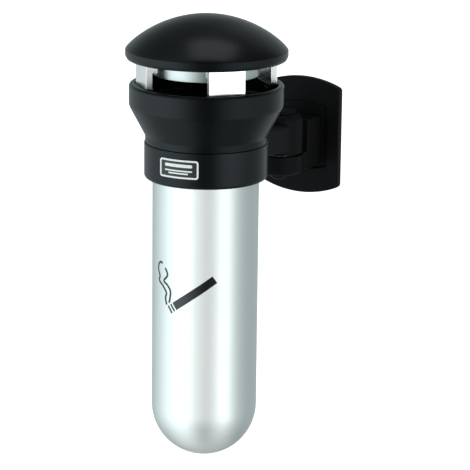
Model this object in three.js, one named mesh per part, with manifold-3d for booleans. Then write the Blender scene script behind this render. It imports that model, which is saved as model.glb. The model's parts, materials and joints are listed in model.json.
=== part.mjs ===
// Wall-mounted ashtray bin: a swivelling arm carries a collar, the steel canister hangs in the
// collar, and a bowl with a domed roof on four legs stands on top of it.
// Millimetres, +Z up. The origin is near the middle of the wall plate's back face, +Y points into
// the wall and the bin stands out along -Y.
import * as THREE from 'three';
import { mergeVertices } from 'three/addons/utils/BufferGeometryUtils.js';
import Module from 'manifold-3d';

const wasm = await Module();
wasm.setup();

// ---- driving dimensions -------------------------------------------------------------------
const GAP = 0.3;                 // clearance between pieces that rest on or pass through others
const PIVOT_Y = -49;             // swivel axis, in front of the wall
const BIN_Y = -188;              // bin axis

const PLATE = { halfWidth: 37.8, cornerTop: 44, cornerBottom: 45.2, rise: 8.2, thickness: 7, corner: 3.6 };
const RECESS = { halfWidth: 25.5, cornerHeight: 26.8, rise: 3.6, depth: 4.4, corner: 1.2, bottom: 31 };
const KEYHOLE = { top: 39.2, bottom: -43.9, headRadius: 4.5, slotRadius: 2.4, rise: 6.5, depth: 4.6 };
const BOSS = { halfWidth: 18, bottom: -26.9, top: 18.3, front: -27.6 };
const LUG = { radius: 21, bottom: -26.6, top: -9.6, hole: 5.3, round: 4 };

const BARREL = { radius: 20.6, bottom: -8, straightTop: 20, top: 27.2, topRadius: 15.3, bore: 12 };
const BARREL_POCKET = { radius: 13.4, floor: 16.4 };
const CAP = { radius: 14.8, bottom: 27.5, top: 31.6, plugRadius: 13, plugBottom: 25, wall: 1.6 };
const POST = { lowerRadius: 5, radius: 8, upperRadius: 4, bottom: -31, shoulder: -9.3, top: 17, end: 24.2 };

const COLLAR = {
  radius: 51.45, bottom: -3.2, top: 26.9, round: 3, bore: 45.2, ledge: 11.2, counterbore: 47.2,
};
const ARM = { halfWidth: 16, rootBottom: -7, rootTop: 19.6, tipBottom: 5.5, tipTop: 26 };
const LOCK_SCREW = { angle: 148, z: 21, radius: 2.5, length: 3.6 };
const BADGE = { halfAngle: 19.35, offsetAngle: 1.75, bottom: 5.8, top: 21.3, thickness: 0.8, corner: 2.6 };

const TUBE = { radius: 44.45, wall: 1.2, ballZ: -200.2, rimRadius: 46.7, rimBottom: 11.5, rimTop: 13.4 };
const LIFT_BAR = { radius: 2, endZ: -4, peakZ: 6 };

const BOWL = {
  neck: 50.7, skirt: 49.5, coneBottom: 32.8, radius: 64.2, coneTop: 58.1, rim: 76.2, lip: 2.6,
};
const BOWL_INSIDE = { radius: 59.5, throat: 45.8, foot: 26 };
const SPIGOT = { radius: 46.8, bore: 41, bottom: 14.2 };
const GASKET = { inner: 47.1, outer: 49.2, bottom: 27.2, top: 28 };
const PAD = { inner: 49.5, outer: 61, halfWidth: 16.3, bottom: 71.8, top: 75.6 };

const LEG = { outer: 56.4, halfWidth: 15.4, thickness: 5.6, bottom: 75.9, top: 99.4 };
const LEG_TAB = { inner: 46.3, tipRadius: 47.6, tip: 88.2, edge: 90, root: 91.3 };
const LEG_HOLE = { footRadius: 1.8, footEnd: 83, topRadius: 2.3, topEnd: 93.2 };
const LEG_ANGLES = { front_right: -45, rear_right: 45, rear_left: 135, front_left: 225 };
const CARRIER = { radius: 58, bottom: 99.7, top: 102.2, screwRadius: 51.2 };
const DRUM = { radius: 44, wall: 1.5, bottom: 83.9, top: 99.4 };
const FOOT_SCREW = { headRadius: 3, headBottom: 69.2, headTop: 71.5, shankRadius: 1.5, shankEnd: 82 };
// The top screws point down, so their heights are measured downwards from z = 0.
const TOP_SCREW = { headRadius: 3.5, headBottom: -105.3, headTop: -102.5, shankRadius: 2, shankEnd: -94 };
const ROOF_BOLT = {
  headRadius: 7, headBottom: 91.4, headTop: 96, shankRadius: 4, shankEnd: 115, hole: 4.4,
};
const DOME = { radius: 67.3, rimRadius: 65.7, rimBottom: 97, widest: 99.7, shoulder: 104.5, height: 28.8 };
const DOME_SHELL = { radius: 64.1, height: 25.5, bossRadius: 10, bossBottom: 102.5, holeTop: 118 };

const ROUND = 40;                // sides of the large round pieces
const SMALL_ROUND = 16;          // sides of fasteners and holes

// ---- materials ----------------------------------------------------------------------------
const FINISH = {
  blackCoat: { color: 0x202325, roughness: 0.48, metalness: 0.1 },
  brushedSteel: { color: 0xc9ccce, roughness: 0.3, metalness: 1 },
  satinSteel: { color: 0xe2e4e5, roughness: 0.25, metalness: 1 },
  zinc: { color: 0xa9adb0, roughness: 0.4, metalness: 1 },
  nylon: { color: 0xd8d4c8, roughness: 0.6, metalness: 0 },
  rubber: { color: 0x141414, roughness: 0.85, metalness: 0 },
  badge: { color: 0xe9e9e6, roughness: 0.45, metalness: 0 },
};

const radians = THREE.MathUtils.degToRad;

function named(name, geometry, finish) {
  const mesh = new THREE.Mesh(geometry, new THREE.MeshStandardMaterial(FINISH[finish]));
  mesh.name = name;
  return mesh;
}

// ---- shape helpers ------------------------------------------------------------------------
// A profile of [radius, z] points turned about the z axis. It runs anticlockwise with the radius
// to the right and z up, and starts and ends on the axis or closes on itself.
function turned(points, sides = ROUND) {
  const profile = points.map(([radius, z]) => new THREE.Vector2(radius, z));
  return new THREE.LatheGeometry(profile, sides).rotateX(Math.PI / 2);
}

function closedRing(points, sides = ROUND) {
  return turned([...points, points[0]], sides);
}

// A quarter-round between two [radius, z] points, bulging away from the given centre.
function quarterRound([centreRadius, centreZ], size, startDegrees, steps = 3) {
  return Array.from({ length: steps + 1 }, (_, i) => {
    const angle = radians(startDegrees + (90 * i) / steps);
    return [centreRadius + size * Math.cos(angle), centreZ + size * Math.sin(angle)];
  });
}

function rod(radius, bottom, top, sides = SMALL_ROUND) {
  return turned([[0, bottom], [radius, bottom], [radius, top], [0, top]], sides);
}

function washer(inner, outer, bottom, top, sides = 20) {
  return closedRing([[inner, bottom], [outer, bottom], [outer, top], [inner, top]], sides);
}

function block(minX, maxX, minY, maxY, minZ, maxZ) {
  const box = new THREE.BoxGeometry(maxX - minX, maxY - minY, maxZ - minZ);
  return box.translate((minX + maxX) / 2, (minY + maxY) / 2, (minZ + maxZ) / 2);
}

function extruded(shape, depth, curveSegments = 8) {
  return new THREE.ExtrudeGeometry(shape, { depth, bevelEnabled: false, curveSegments });
}

function roundedRectangle(minX, maxX, minY, maxY, corner) {
  const shape = new THREE.Shape();
  shape.moveTo(minX + corner, minY);
  shape.lineTo(maxX - corner, minY);
  shape.absarc(maxX - corner, minY + corner, corner, -Math.PI / 2, 0, false);
  shape.absarc(maxX - corner, maxY - corner, corner, 0, Math.PI / 2, false);
  shape.absarc(minX + corner, maxY - corner, corner, Math.PI / 2, Math.PI, false);
  shape.absarc(minX + corner, minY + corner, corner, Math.PI, Math.PI * 1.5, false);
  return shape;
}

// A side view drawn with -Y to the right and Z up, as a slab of the given half width.
function sideSlab(side, halfWidth) {
  return extruded(side, 2 * halfWidth)
    .rotateX(Math.PI / 2).rotateZ(-Math.PI / 2).translate(halfWidth, 0, 0);
}

// A panel with straight sides, arched top and bottom edges and rounded corners. cornerTop and
// cornerBottom are the heights of its corners above and below the centre.
function archedPanel(halfWidth, cornerTop, cornerBottom, rise, corner) {
  const arcRadius = (halfWidth ** 2 + rise ** 2) / (2 * rise);
  const edge = (x) => rise - arcRadius + Math.sqrt(arcRadius ** 2 - x ** 2);
  const inset = halfWidth - corner;
  const steps = 8;
  const shape = new THREE.Shape();
  shape.moveTo(halfWidth, corner - cornerBottom);
  shape.lineTo(halfWidth, cornerTop - corner);
  shape.quadraticCurveTo(halfWidth, cornerTop, inset, cornerTop + edge(inset));
  for (let i = 1; i <= steps; i += 1) {
    const x = inset - (2 * inset * i) / steps;
    shape.lineTo(x, cornerTop + edge(x));
  }
  shape.quadraticCurveTo(-halfWidth, cornerTop, -halfWidth, cornerTop - corner);
  shape.lineTo(-halfWidth, corner - cornerBottom);
  shape.quadraticCurveTo(-halfWidth, -cornerBottom, -inset, -cornerBottom - edge(inset));
  for (let i = 1; i <= steps; i += 1) {
    const x = (2 * inset * i) / steps - inset;
    shape.lineTo(x, -cornerBottom - edge(x));
  }
  shape.quadraticCurveTo(halfWidth, -cornerBottom, halfWidth, corner - cornerBottom);
  return shape;
}

// ---- booleans -----------------------------------------------------------------------------
function toSolid(geometry) {
  const bare = geometry.index ? geometry.clone() : geometry;
  bare.deleteAttribute('normal');
  bare.deleteAttribute('uv');
  const merged = mergeVertices(bare, 1e-4);
  return new wasm.Manifold(new wasm.Mesh({
    numProp: 3,
    vertProperties: new Float32Array(merged.attributes.position.array),
    triVerts: new Uint32Array(merged.index.array),
  }));
}

function toGeometry(solid) {
  const mesh = solid.getMesh();
  const geometry = new THREE.BufferGeometry();
  geometry.setAttribute('position', new THREE.BufferAttribute(mesh.vertProperties, 3));
  geometry.setIndex(new THREE.BufferAttribute(mesh.triVerts, 1));
  geometry.computeVertexNormals();
  return geometry;
}

function carved(additions, cuts) {
  let solid = toSolid(additions[0]);
  for (const geometry of additions.slice(1)) solid = solid.add(toSolid(geometry));
  for (const geometry of cuts) solid = solid.subtract(toSolid(geometry));
  return toGeometry(solid);
}

// Turns a geometry drawn facing -Y to face another way round the z axis.
function aroundAxis(geometry, degrees) {
  return geometry.rotateZ(radians(degrees));
}

// ---- wall bracket -------------------------------------------------------------------------
// A blind keyhole in the plate's back: a round pocket for a screw's head, and a slot above it.
function keyhole(z) {
  const pocket = (radius) => rod(radius, -1, KEYHOLE.depth).rotateX(Math.PI / 2);
  const slot = block(-KEYHOLE.slotRadius, KEYHOLE.slotRadius, -KEYHOLE.depth, 1, 0, KEYHOLE.rise);
  return toSolid(pocket(KEYHOLE.headRadius)).add(toSolid(slot))
    .add(toSolid(pocket(KEYHOLE.slotRadius).translate(0, 0, KEYHOLE.rise))).translate([0, 0, z]);
}

function wallBracket() {
  const standing = (shape, depth, back) => (
    extruded(shape, depth).rotateX(Math.PI / 2).translate(0, back, 0));
  const outline = archedPanel(
    PLATE.halfWidth, PLATE.cornerTop, PLATE.cornerBottom, PLATE.rise, PLATE.corner);
  const hollow = archedPanel(
    RECESS.halfWidth, RECESS.cornerHeight, RECESS.bottom - RECESS.rise, RECESS.rise, RECESS.corner);
  const plate = standing(outline, PLATE.thickness, 0);
  const recess = standing(hollow, RECESS.depth + 2, RECESS.depth - PLATE.thickness);
  const floorY = RECESS.depth - PLATE.thickness;
  const framed = toSolid(plate).subtract(toSolid(recess));

  const boss = block(-BOSS.halfWidth, BOSS.halfWidth, BOSS.front, floorY + 0.5, BOSS.bottom, BOSS.top);
  const webBottom = LUG.bottom + LUG.round;
  const web = block(-BOSS.halfWidth, BOSS.halfWidth, PIVOT_Y + 6, BOSS.front + 1, webBottom, LUG.top);
  const lug = turned([
    [0, LUG.bottom],
    ...quarterRound([LUG.radius - LUG.round, LUG.bottom + LUG.round], LUG.round, -90),
    [LUG.radius, LUG.top],
    [0, LUG.top],
  ]).translate(0, PIVOT_Y, 0);
  let solid = framed.add(toSolid(boss)).add(toSolid(web)).add(toSolid(lug));

  const postHole = rod(LUG.hole, LUG.bottom - 1, LUG.top + 1).translate(0, PIVOT_Y, 0);
  solid = solid.subtract(toSolid(postHole));
  for (const z of [KEYHOLE.top, KEYHOLE.bottom]) solid = solid.subtract(keyhole(z));
  return toGeometry(solid);
}

// ---- pivot --------------------------------------------------------------------------------
function pivotPost() {
  return turned([
    [0, POST.bottom],
    [POST.lowerRadius - 0.6, POST.bottom],
    [POST.lowerRadius, POST.bottom + 0.6],
    [POST.lowerRadius, POST.shoulder],
    [POST.radius, POST.shoulder],
    [POST.radius, POST.top],
    [POST.upperRadius, POST.top],
    [POST.upperRadius, POST.end],
    [0, POST.end],
  ], 24);
}

// A hexagonal nut with a round hole through it.
function hexNut(cornerRadius, holeRadius, bottom, top) {
  const shape = new THREE.Shape();
  for (let i = 0; i < 6; i += 1) {
    const angle = (Math.PI / 3) * i;
    const [x, y] = [cornerRadius * Math.cos(angle), cornerRadius * Math.sin(angle)];
    if (i === 0) shape.moveTo(x, y);
    else shape.lineTo(x, y);
  }
  shape.closePath();
  shape.holes.push(new THREE.Path().absarc(0, 0, holeRadius, 0, Math.PI * 2, true));
  return extruded(shape, top - bottom, 6).translate(0, 0, bottom);
}

// A domed nut that closes over the lower end of the post.
function domedNut() {
  const top = LUG.bottom - GAP;
  const hole = POST.lowerRadius + GAP;
  const floor = POST.bottom - GAP;
  return turned([
    [0, -33.2],
    [3.2, -32.9],
    [5.8, -31.9],
    [7.4, -30.4],
    [8, -28.6],
    [8, top],
    [hole, top],
    [hole, floor],
    [0, floor],
  ], 24);
}

function pivotCap() {
  const inside = CAP.plugRadius - CAP.wall;
  return turned([
    [0, CAP.bottom + 1.5],
    [inside, CAP.bottom + 1.5],
    [inside, CAP.plugBottom],
    [CAP.plugRadius, CAP.plugBottom],
    [CAP.plugRadius, CAP.bottom],
    [CAP.radius, CAP.bottom],
    [CAP.radius, CAP.bottom + 1.2],
    [CAP.radius - 1.2, CAP.top - 1.3],
    [CAP.radius - 5.4, CAP.top - 0.3],
    [0, CAP.top],
  ], 24);
}

// ---- arm ----------------------------------------------------------------------------------
function barrel() {
  const shoulder = Array.from({ length: 5 }, (_, i) => {
    const angle = radians((90 * i) / 4);
    return [
      BARREL.topRadius + (BARREL.radius - BARREL.topRadius) * Math.cos(angle),
      BARREL.straightTop + (BARREL.top - BARREL.straightTop) * Math.sin(angle),
    ];
  });
  return turned([
    [0, BARREL.bottom],
    [BARREL.radius - 0.8, BARREL.bottom],
    [BARREL.radius, BARREL.bottom + 0.8],
    ...shoulder,
    [0, BARREL.top],
  ], 32);
}

// The arm rises from its root in the barrel's wall to its tip in the collar's wall.
function arm() {
  const root = BARREL.bore - PIVOT_Y;
  const tip = 5 - BIN_Y - COLLAR.radius;
  const side = new THREE.Shape();
  side.moveTo(root, ARM.rootBottom);
  side.lineTo(tip, ARM.tipBottom);
  side.lineTo(tip, ARM.tipTop);
  side.lineTo(root, ARM.rootTop);
  side.closePath();
  return sideSlab(side, ARM.halfWidth);
}

function collarArm() {
  const collar = turned([
    [0, COLLAR.bottom],
    ...quarterRound([COLLAR.radius - COLLAR.round, COLLAR.bottom + COLLAR.round], COLLAR.round, -90),
    [COLLAR.radius, COLLAR.top - 0.3],
    [COLLAR.radius - 0.3, COLLAR.top],
    [0, COLLAR.top],
  ]).translate(0, BIN_Y, 0);
  const canisterBore = rod(COLLAR.bore, COLLAR.bottom - 1, COLLAR.top + 1, ROUND).translate(0, BIN_Y, 0);
  const spigotBore = rod(COLLAR.counterbore, COLLAR.ledge, COLLAR.top + 1, ROUND).translate(0, BIN_Y, 0);
  const postBore = rod(BARREL.bore, BARREL.bottom - 1, BARREL.top + 1, 24).translate(0, PIVOT_Y, 0);
  const pocket = rod(BARREL_POCKET.radius, BARREL_POCKET.floor, BARREL.top + 1, 24)
    .translate(0, PIVOT_Y, 0);
  const lockHole = rod(LOCK_SCREW.radius + GAP, 30, COLLAR.radius + 5);
  const cuts = [canisterBore, spigotBore, postBore, pocket, atLockScrew(lockHole)];
  return carved([collar, arm(), barrel().translate(0, PIVOT_Y, 0)], cuts);
}

// Lays a piece drawn along +Z out radially at the lock screw's place in the collar.
function atLockScrew(geometry) {
  return aroundAxis(geometry.rotateX(Math.PI / 2), LOCK_SCREW.angle).translate(0, BIN_Y, LOCK_SCREW.z);
}

function lockScrew() {
  const outer = COLLAR.radius - 0.4;
  const inner = outer - LOCK_SCREW.length;
  const body = rod(LOCK_SCREW.radius, inner, outer);
  const socket = new THREE.CylinderGeometry(1.4, 1.4, 3.2, 6).rotateX(Math.PI / 2).translate(0, 0, outer);
  return atLockScrew(carved([body], [socket]));
}

// A thin curved plate that follows the collar, cut to a rounded rectangle.
function badge() {
  const inner = COLLAR.radius + GAP;
  const outer = inner + BADGE.thickness;
  const shell = closedRing([
    [inner, BADGE.bottom - 1], [outer, BADGE.bottom - 1], [outer, BADGE.top + 1], [inner, BADGE.top + 1],
  ], 96);
  const halfWidth = outer * Math.sin(radians(BADGE.halfAngle));
  const outline = roundedRectangle(-halfWidth, halfWidth, BADGE.bottom, BADGE.top, BADGE.corner);
  const cutter = extruded(outline, outer, 3).rotateX(Math.PI / 2);
  return aroundAxis(toGeometry(toSolid(shell).intersect(toSolid(cutter))), BADGE.offsetAngle);
}

// ---- canister -----------------------------------------------------------------------------
function canisterTube() {
  const ball = (radius, from, to, steps) => Array.from({ length: steps + 1 }, (_, i) => {
    const angle = radians(from + ((to - from) * i) / steps);
    return [Math.abs(radius * Math.cos(angle)), TUBE.ballZ + radius * Math.sin(angle)];
  });
  const inner = TUBE.radius - TUBE.wall;
  const outside = ball(TUBE.radius, -90, 0, 7);
  const inside = ball(inner, 0, -90, 6);
  outside[0][0] = 0;
  inside[inside.length - 1][0] = 0;
  return turned([
    ...outside,
    [TUBE.radius, TUBE.rimBottom],
    [TUBE.rimRadius - 0.5, TUBE.rimBottom],
    [TUBE.rimRadius, TUBE.rimBottom + 0.5],
    [TUBE.rimRadius, TUBE.rimTop - 0.5],
    [TUBE.rimRadius - 0.5, TUBE.rimTop],
    [inner, TUBE.rimTop],
    ...inside,
  ]);
}

// An arched bar across the mouth of the tube, to lift the canister by.
function liftBar() {
  const reach = TUBE.radius - TUBE.wall - GAP - LIFT_BAR.radius;
  const path = new THREE.QuadraticBezierCurve3(
    new THREE.Vector3(-reach, 0, LIFT_BAR.endZ),
    new THREE.Vector3(0, 0, 2 * LIFT_BAR.peakZ - LIFT_BAR.endZ),
    new THREE.Vector3(reach, 0, LIFT_BAR.endZ),
  );
  const section = new THREE.Shape().absarc(0, 0, LIFT_BAR.radius, 0, Math.PI * 2, false);
  return new THREE.ExtrudeGeometry(section, { extrudePath: path, steps: 12, curveSegments: 5 });
}

// ---- bowl ---------------------------------------------------------------------------------
// The neck's skirt comes down round the gasket to just above the collar.
function bowl() {
  const inner = BOWL_INSIDE.radius;
  const seat = GASKET.top + GAP;
  const shell = closedRing([
    [SPIGOT.bore, SPIGOT.bottom],
    [SPIGOT.radius, SPIGOT.bottom],
    [SPIGOT.radius, seat],
    [BOWL.skirt, seat],
    [BOWL.skirt, COLLAR.top + GAP],
    [BOWL.neck, COLLAR.top + GAP],
    [BOWL.neck, BOWL.coneBottom],
    [BOWL.radius, BOWL.coneTop],
    ...quarterRound([BOWL.radius - BOWL.lip, BOWL.rim - BOWL.lip], BOWL.lip, 0),
    [inner + 0.5, BOWL.rim - 0.3],
    [inner, BOWL.rim - 1.2],
    [inner, BOWL.coneTop + 2.6],
    [BOWL_INSIDE.throat, BOWL.coneBottom + 0.6],
    [SPIGOT.bore, BOWL_INSIDE.foot],
  ]);
  const additions = [shell];
  const cuts = [];
  for (const angle of Object.values(LEG_ANGLES)) {
    const pad = block(-PAD.halfWidth, PAD.halfWidth, -PAD.outer, -PAD.inner, PAD.bottom, PAD.top);
    additions.push(aroundAxis(pad, angle + 90));
    const hole = rod(LEG_HOLE.footRadius, PAD.bottom - 1, PAD.top + 1, 12);
    cuts.push(aroundAxis(hole.translate(0, legCentre(), 0), angle + 90));
  }
  return carved(additions, cuts);
}

// ---- roof ---------------------------------------------------------------------------------
function legCentre() {
  return -(LEG.outer - LEG.thickness / 2);
}

// One leg, drawn on the -Y side: an upright strip with a tab turned inwards at its top. Screws
// enter it from below and through the tab from above.
function leg() {
  const inner = LEG.outer - LEG.thickness;
  const side = new THREE.Shape();
  side.moveTo(LEG.outer, LEG.bottom);
  side.lineTo(LEG.outer, LEG.top);
  side.lineTo(LEG_TAB.inner, LEG.top);
  side.lineTo(LEG_TAB.inner, LEG_TAB.edge);
  side.lineTo(LEG_TAB.tipRadius, LEG_TAB.tip);
  side.lineTo(inner, LEG_TAB.root);
  side.lineTo(inner, LEG.bottom);
  side.closePath();
  const strip = sideSlab(side, LEG.halfWidth);
  const footHole = rod(LEG_HOLE.footRadius, LEG.bottom - 1, LEG_HOLE.footEnd, 12);
  const topHole = rod(LEG_HOLE.topRadius, LEG_HOLE.topEnd, LEG.top + 1, 12);
  footHole.translate(0, legCentre(), 0);
  topHole.translate(0, -CARRIER.screwRadius, 0);
  return carved([strip], [footHole, topHole]);
}

// A pan-headed screw with its head at the bottom and its shank pointing up.
function screw({ headRadius, headBottom, headTop, shankRadius, shankEnd }) {
  const crown = 0.6;
  return turned([
    [0, headBottom],
    [headRadius - crown, headBottom],
    [headRadius, headBottom + crown],
    [headRadius, headTop],
    [shankRadius, headTop],
    [shankRadius, shankEnd],
    [0, shankEnd],
  ], 12);
}

function carrierPlate() {
  const disc = rod(CARRIER.radius, CARRIER.bottom, CARRIER.top, ROUND);
  const cuts = [rod(ROOF_BOLT.hole, CARRIER.bottom - 1, CARRIER.top + 1)];
  for (const angle of Object.values(LEG_ANGLES)) {
    const hole = rod(LEG_HOLE.topRadius, CARRIER.bottom - 1, CARRIER.top + 1, 12);
    cuts.push(aroundAxis(hole.translate(0, -CARRIER.screwRadius, 0), angle + 90));
  }
  return carved([disc], cuts);
}

// A shallow cup, open below, with a hole for the roof bolt.
function drum() {
  const inner = DRUM.radius - DRUM.wall;
  return closedRing([
    [ROOF_BOLT.hole, DRUM.top - DRUM.wall],
    [inner - 2, DRUM.top - DRUM.wall],
    [inner, DRUM.top - DRUM.wall - 2],
    [inner, DRUM.bottom],
    [DRUM.radius, DRUM.bottom],
    [DRUM.radius, DRUM.top - 2],
    [DRUM.radius - 2, DRUM.top],
    [ROOF_BOLT.hole, DRUM.top],
  ]);
}

// Height of a flattened dome above its shoulder, at a fraction of its radius.
function domeRise(fraction) {
  return (1 - fraction ** 2.01) ** (1 / 1.18);
}

function dome() {
  const curve = (radius, height, fromAngle, toAngle, steps) => (
    Array.from({ length: steps + 1 }, (_, i) => {
      const fraction = Math.sin(radians(fromAngle + ((toAngle - fromAngle) * i) / steps));
      return [radius * fraction, DOME.shoulder + height * domeRise(Math.min(fraction, 1))];
    }));
  const bossFraction = THREE.MathUtils.radToDeg(Math.asin(DOME_SHELL.bossRadius / DOME_SHELL.radius));
  const outside = curve(DOME.radius, DOME.height, 90, 0, 9);
  outside[outside.length - 1][0] = 0;
  return turned([
    [0, DOME_SHELL.holeTop],
    [ROOF_BOLT.hole, DOME_SHELL.holeTop],
    [ROOF_BOLT.hole, DOME_SHELL.bossBottom],
    [DOME_SHELL.bossRadius, DOME_SHELL.bossBottom],
    ...curve(DOME_SHELL.radius, DOME_SHELL.height, bossFraction, 90, 5),
    [DOME_SHELL.radius, DOME.widest],
    [DOME_SHELL.radius, DOME.rimBottom + 0.6],
    [DOME_SHELL.radius + 0.6, DOME.rimBottom],
    [DOME.rimRadius, DOME.rimBottom],
    [DOME.radius - 0.5, DOME.rimBottom + 1],
    [DOME.radius, DOME.widest],
    ...outside,
  ]);
}

// ---- assembly -----------------------------------------------------------------------------
const pivot = new THREE.Group();
pivot.position.set(0, PIVOT_Y, 0);
pivot.add(
  named('pivot_post', pivotPost(), 'zinc'),
  named('post_domed_nut', domedNut(), 'blackCoat'),
  named('thrust_washer', washer(POST.radius + GAP, 16.5, LUG.top + GAP, BARREL.bottom - GAP, 24),
    'satinSteel'),
  named('lower_bush', washer(POST.radius + GAP, BARREL.bore - GAP, -7.6, 2.5), 'nylon'),
  named('upper_bush', washer(POST.radius + GAP, BARREL.bore - GAP, 6, 16), 'nylon'),
  named('post_top_washer', washer(POST.upperRadius + GAP, 12.9, POST.top + GAP, 18.8), 'zinc'),
  named('post_top_nut', hexNut(7.4, POST.upperRadius + GAP, 19.1, 23.9), 'zinc'),
  named('pivot_cap', pivotCap(), 'blackCoat'),
);

const head = new THREE.Group();
head.add(
  named('bowl', bowl(), 'blackCoat'),
  named('neck_gasket', washer(GASKET.inner, GASKET.outer, GASKET.bottom, GASKET.top, ROUND), 'rubber'),
  named('drum', drum(), 'satinSteel'),
  named('carrier_plate', carrierPlate(), 'zinc'),
  named('roof_washer', washer(ROOF_BOLT.hole, 9, ROOF_BOLT.headTop + GAP, DRUM.top - DRUM.wall - GAP),
    'zinc'),
  named('roof_bolt', screw(ROOF_BOLT), 'zinc'),
  named('dome', dome(), 'blackCoat'),
);
for (const [corner, angle] of Object.entries(LEG_ANGLES)) {
  const seat = new THREE.Group();
  seat.rotation.z = radians(angle + 90);
  const foot = named(`${corner}_foot_screw`, screw(FOOT_SCREW), 'zinc');
  foot.position.y = legCentre();
  const top = named(`${corner}_top_screw`, screw(TOP_SCREW).rotateX(Math.PI), 'zinc');
  top.position.y = -CARRIER.screwRadius;
  seat.add(named(`${corner}_leg`, leg(), 'satinSteel'), foot, top);
  head.add(seat);
}

const canister = new THREE.Group();
canister.add(
  named('canister_tube', canisterTube(), 'brushedSteel'),
  named('lift_bar', liftBar(), 'satinSteel'),
);

const bin = new THREE.Group();
bin.position.set(0, BIN_Y, 0);
bin.add(head, canister, named('badge', badge(), 'badge'));

const ashtrayBin = new THREE.Group();
ashtrayBin.add(
  named('wall_bracket', wallBracket(), 'blackCoat'),
  named('collar_arm', collarArm(), 'blackCoat'),
  named('head_lock_screw', lockScrew(), 'zinc'),
  pivot,
  bin,
);

export default ashtrayBin;
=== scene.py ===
import json
import math

import bmesh
import bpy
from mathutils import Matrix, Vector

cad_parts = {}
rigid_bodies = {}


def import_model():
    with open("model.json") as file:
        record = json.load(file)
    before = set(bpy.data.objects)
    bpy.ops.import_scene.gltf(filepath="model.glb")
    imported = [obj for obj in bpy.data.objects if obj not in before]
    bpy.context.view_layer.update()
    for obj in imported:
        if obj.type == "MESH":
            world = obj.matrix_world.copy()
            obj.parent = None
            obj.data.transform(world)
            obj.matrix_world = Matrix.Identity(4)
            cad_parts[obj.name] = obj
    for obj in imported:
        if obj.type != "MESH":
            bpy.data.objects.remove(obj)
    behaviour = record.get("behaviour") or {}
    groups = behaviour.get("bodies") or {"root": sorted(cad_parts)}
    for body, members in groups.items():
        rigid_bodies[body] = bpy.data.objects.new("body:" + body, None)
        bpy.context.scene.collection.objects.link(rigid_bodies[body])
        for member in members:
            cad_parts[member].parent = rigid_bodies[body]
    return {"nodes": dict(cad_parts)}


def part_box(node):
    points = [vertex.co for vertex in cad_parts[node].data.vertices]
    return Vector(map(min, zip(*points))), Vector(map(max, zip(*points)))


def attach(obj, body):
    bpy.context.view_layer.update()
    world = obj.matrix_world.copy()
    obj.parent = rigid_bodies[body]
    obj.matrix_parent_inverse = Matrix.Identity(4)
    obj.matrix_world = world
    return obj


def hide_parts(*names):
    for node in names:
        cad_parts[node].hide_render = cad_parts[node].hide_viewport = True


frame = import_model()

MM = 0.001
TURN = 2 * math.pi
GAP = 0.3                           # left between pieces that meet
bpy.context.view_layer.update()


# ---- places taken from the CAD frame ---------------------------------------------------------
def corners(node):
    low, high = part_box(node)
    return low / MM, high / MM


class Round:
    """Centre, radius and heights of a round CAD node."""

    def __init__(self, node):
        low, high = corners(node)
        self.x, self.y = (low.x + high.x) / 2, (low.y + high.y) / 2
        self.radius = (high.x - low.x) / 2
        self.bottom, self.top = low.z, high.z


TUBE = Round("canister_tube")
PIVOT = Round("pivot_post")
DOME = Round("dome")
BOWL = Round("bowl")
DRUM = Round("drum")
BIN = Vector((TUBE.x, TUBE.y, 0))
SWIVEL = Vector((PIVOT.x, PIVOT.y, 0))


# ---- meshes ------------------------------------------------------------------------------------
def make_object(name, mesh_data):
    bmesh.ops.recalc_face_normals(mesh_data, faces=mesh_data.faces)
    mesh = bpy.data.meshes.new(name)
    mesh_data.to_mesh(mesh)
    mesh_data.free()
    mesh.transform(Matrix.Scale(MM, 4))
    obj = bpy.data.objects.new(name, mesh)
    bpy.context.scene.collection.objects.link(obj)
    return obj


def add_piece(obj, body, finish, replaced=(), crease=32):
    """Shades the piece, gives it its finish and ties it to its CAD body."""
    mesh = obj.data
    mesh.shade_smooth()
    mesh.set_sharp_from_angle(angle=math.radians(crease))
    mesh.materials.clear()
    mesh.materials.append(MATERIALS[finish])
    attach(obj, body)
    if replaced:
        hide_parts(*replaced)
    return obj


def rounded(points, closed=True, steps=5):
    """An outline of (a, b) corners. A third number on a corner is the radius it is rounded with."""
    outline = []
    count = len(points)
    for i, corner in enumerate(points):
        here = Vector(corner[:2])
        size = corner[2] if len(corner) > 2 else 0
        if not size or (not closed and i in (0, count - 1)):
            outline.append(here)
            continue
        to_last = (Vector(points[i - 1][:2]) - here).normalized()
        to_next = (Vector(points[(i + 1) % count][:2]) - here).normalized()
        half = to_last.angle(to_next) / 2
        centre = here + (to_last + to_next).normalized() * size / math.sin(half)
        spoke = here + to_last * size / math.tan(half) - centre
        way = 1 if to_last.cross(to_next) < 0 else -1
        sweep = way * (math.pi - 2 * half)
        for k in range(steps + 1):
            outline.append(centre + Matrix.Rotation(sweep * k / steps, 2) @ spoke)
    return outline


def lathe(name, outline, centre=BIN, closed=True, sides=160):
    """Turns an outline of (radius, z) points about the upright line through centre."""
    mesh = bmesh.new()
    rings = []
    for radius, z in outline:
        if radius < 1e-4:
            rings.append([mesh.verts.new((centre.x, centre.y, z))])
            continue
        angles = [TURN * i / sides for i in range(sides)]
        rings.append([mesh.verts.new((centre.x + radius * math.cos(a),
                                      centre.y + radius * math.sin(a), z)) for a in angles])
    pairs = list(zip(rings, rings[1:]))
    if closed:
        pairs.append((rings[-1], rings[0]))
    for a, b in pairs:
        for i in range(sides):
            j = (i + 1) % sides
            if len(a) > 1 and len(b) > 1:
                mesh.faces.new((a[i], a[j], b[j], b[i]))
            elif len(b) > 1:
                mesh.faces.new((a[0], b[j], b[i]))
            elif len(a) > 1:
                mesh.faces.new((a[i], a[j], b[0]))
    return make_object(name, mesh)


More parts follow.
